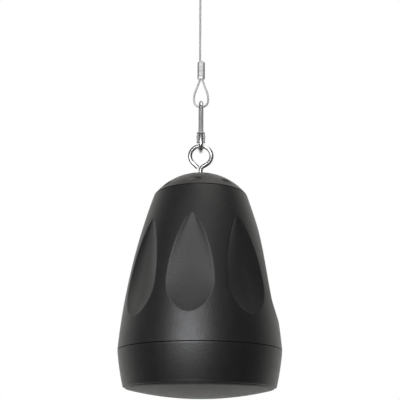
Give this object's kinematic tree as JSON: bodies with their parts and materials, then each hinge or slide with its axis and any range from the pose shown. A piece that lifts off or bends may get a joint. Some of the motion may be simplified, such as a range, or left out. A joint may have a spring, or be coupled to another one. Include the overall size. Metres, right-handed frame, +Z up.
{
  "type": "pendant speaker",
  "caption": "Bell-shaped pendant loudspeaker with scooped sides, a domed perforated grille below, and a wire rope with ferrule, snap hook and eye bolt above.",
  "frame": {"origin": "centre of the ceiling coupling's upper face, at the mouth of its tapped hole", "axes": "+Z up along the rope, +X to the viewer's right, -Y towards the viewer"},
  "size_m": [0.2299, 0.23, 0.666],
  "materials": {
    "bell_plastic": "fine-textured matte black moulding",
    "cap_plastic": "matte charcoal moulding",
    "inner_plastic": "matte black moulding",
    "dial_plastic": "matte gray moulding",
    "terminal_plastic": "semi-gloss moulding",
    "board_laminate": "satin circuit laminate",
    "capacitor_film": "shrink sleeve",
    "polished_steel": "polished plated steel",
    "gate_steel": "satin plated steel",
    "rope_steel": "galvanised stranded wire",
    "ferrule_metal": "crimped, satin",
    "zinc_steel": "zinc plated",
    "grille_paint": "powder-coated perforated steel",
    "black_paint": "black paint on pressed steel",
    "core_iron": "lacquered iron",
    "magnet_ferrite": "ground ferrite",
    "copper_wire": "enamelled copper winding",
    "cone_paper": "black pulp",
    "spider_cloth": "impregnated cloth",
    "grille_cloth": "black open weave",
    "rubber": "matte",
    "dome_metal": "satin foil"
  },
  "bodies": {
    "rope": {"ceiling_fitting": "zinc_steel", "suspension_rope": "rope_steel", "rope_ferrule": "ferrule_metal"},
    "hook": {"snap_hook": "polished_steel", "gate_rivet": "zinc_steel"},
    "gate": {"hook_gate": "gate_steel"},
    "speaker": {"eye_bolt": "polished_steel", "eye_bolt_nuts": "zinc_steel", "eye_bolt_washers": "zinc_steel", "top_cap": "cap_plastic", "cap_seal": "rubber", "housing": "bell_plastic", "hanging_plate": "zinc_steel", "plate_screws": "zinc_steel", "terminal_block": "terminal_plastic", "terminal_screws": "zinc_steel", "transformer_frame": "zinc_steel", "transformer_core": "core_iron", "transformer_winding": "copper_wire", "transformer_screws": "zinc_steel", "mounting_ring": "inner_plastic", "front_ring": "bell_plastic", "grille": "grille_paint", "grille_cloth": "grille_cloth", "baffle": "inner_plastic", "baffle_gasket": "rubber", "baffle_screws": "zinc_steel", "port_tube": "inner_plastic", "tap_switch": "inner_plastic", "crossover_board": "board_laminate", "board_standoffs": "zinc_steel", "crossover_coil": "copper_wire", "crossover_capacitors": "capacitor_film", "driver_gasket": "rubber", "driver_basket": "black_paint", "driver_screws": "zinc_steel", "magnet_top_plate": "zinc_steel", "driver_magnet": "magnet_ferrite", "magnet_back_plate": "zinc_steel", "tweeter_body": "inner_plastic", "tweeter_dome": "dome_metal"},
    "cone": {"driver_cone": "cone_paper", "voice_coil": "copper_wire", "driver_surround": "rubber", "driver_spider": "spider_cloth"},
    "dial": {"tap_dial": "dial_plastic"}
  },
  "joints": [
    {"name": "hook_swing", "type": "hinge", "parent": "rope", "child": "hook", "pos_m": [0.00185, 0, -0.2278], "axis": [1, 0, 0], "range_deg": [-25, 25]},
    {"name": "gate_pivot", "type": "hinge", "parent": "hook", "child": "gate", "pos_m": [0.00185, -0.01074, -0.28244], "axis": [-1, 0, 0], "range_deg": [0, 18], "stiffness_Nm_per_rad": 0.05, "springref_deg": -17.19},
    {"name": "speaker_swing", "type": "hinge", "parent": "hook", "child": "speaker", "pos_m": [0.00185, 0, -0.29965], "axis": [0, 1, 0], "range_deg": [-25, 25]},
    {"name": "cone_travel", "type": "slide", "parent": "speaker", "child": "cone", "axis": [0, 0, 1], "range_m": [-0.003, 0.003], "stiffness_N_per_m": 1000, "deforming": ["driver_surround", "driver_spider"]},
    {"name": "dial_turn", "type": "hinge", "parent": "speaker", "child": "dial", "pos_m": [0.00185, -0.0805, -0.64], "axis": [0, 0, 1], "range_deg": [0, 150]}
  ]
}
